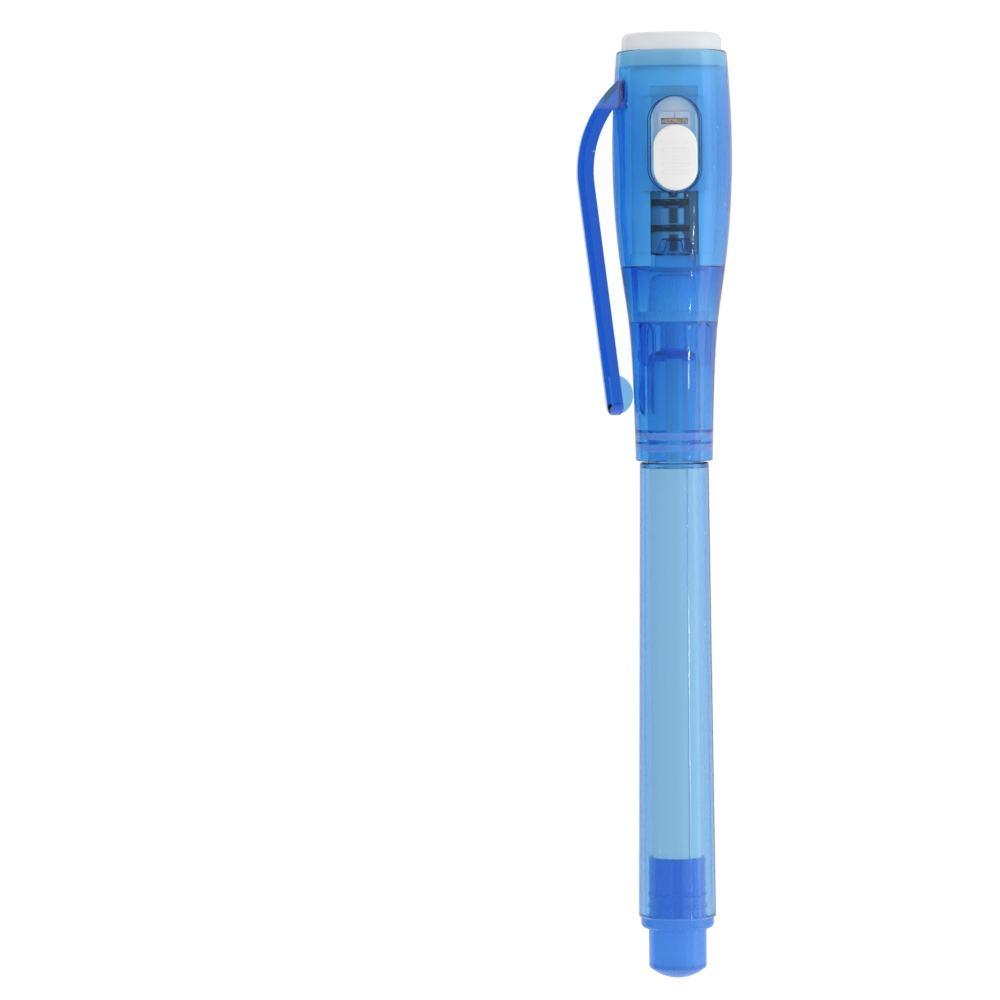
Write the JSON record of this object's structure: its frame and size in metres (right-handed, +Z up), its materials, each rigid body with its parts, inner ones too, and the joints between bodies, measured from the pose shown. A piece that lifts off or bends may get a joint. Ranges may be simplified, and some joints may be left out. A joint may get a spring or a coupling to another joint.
{
  "type": "invisible ink pen with a lamp in its cap",
  "caption": "Slim fibre-tip invisible ink pen with a bulged clear cap that holds a small ultraviolet lamp, button cells, a slide switch and a pocket clip.",
  "frame": {"origin": "on the pen's axis at the root of the tail, where the rear face of the plug's collar stops a posted cap", "axes": "+Y along the pen from tail to lamp, +Z up through the switch button, the pocket clip on -X; the pen lies on its side"},
  "size_m": [0.0212, 0.1299, 0.0172],
  "materials": {
    "barrel_plastic": "translucent blue polypropylene, moulded, semi-gloss",
    "plug_plastic": "translucent deep blue polypropylene, moulded",
    "ink_fibre": "white bonded fibre rod",
    "clear_film": "thin clear wrap film",
    "nib_fibre": "white bonded fibre nib",
    "cap_plastic": "clear blue polystyrene, polished mould",
    "seal_plastic": "soft translucent blue polyethylene",
    "carrier_plastic": "milky white polypropylene",
    "cell_steel": "nickel-plated steel",
    "cell_seal": "black nylon",
    "lens_epoxy": "clear cast epoxy",
    "contact_metal": "tin-plated spring steel",
    "switch_plastic": "white moulded plastic, fine satin",
    "bezel_plastic": "white moulded plastic"
  },
  "bodies": {
    "pen": {"barrel": "barrel_plastic", "rear_plug": "plug_plastic", "ink_reservoir": "ink_fibre", "reservoir_film": "clear_film", "nib": "nib_fibre"},
    "cap": {"cap_shell": "cap_plastic", "inner_cap": "seal_plastic", "battery_carrier": "carrier_plastic", "cell_1_can": "cell_steel", "cell_1_seal": "cell_seal", "cell_1_cap": "cell_steel", "cell_2_can": "cell_steel", "cell_2_seal": "cell_seal", "cell_2_cap": "cell_steel", "cell_3_can": "cell_steel", "cell_3_seal": "cell_seal", "cell_3_cap": "cell_steel", "led_lens": "lens_epoxy", "led_anode_lead": "contact_metal", "led_cathode_lead": "contact_metal", "contact_strip": "contact_metal", "lamp_bezel": "bezel_plastic"},
    "switch": {"switch_slider": "switch_plastic", "switch_contact": "contact_metal"}
  },
  "joints": [
    {"name": "cap_pull", "type": "slide", "parent": "pen", "child": "cap", "axis": [0, 1, 0], "range_m": [0, 0.03]},
    {"name": "switch_slide", "type": "slide", "parent": "cap", "child": "switch", "axis": [0, 1, 0], "range_m": [0, 0.0036]}
  ]
}
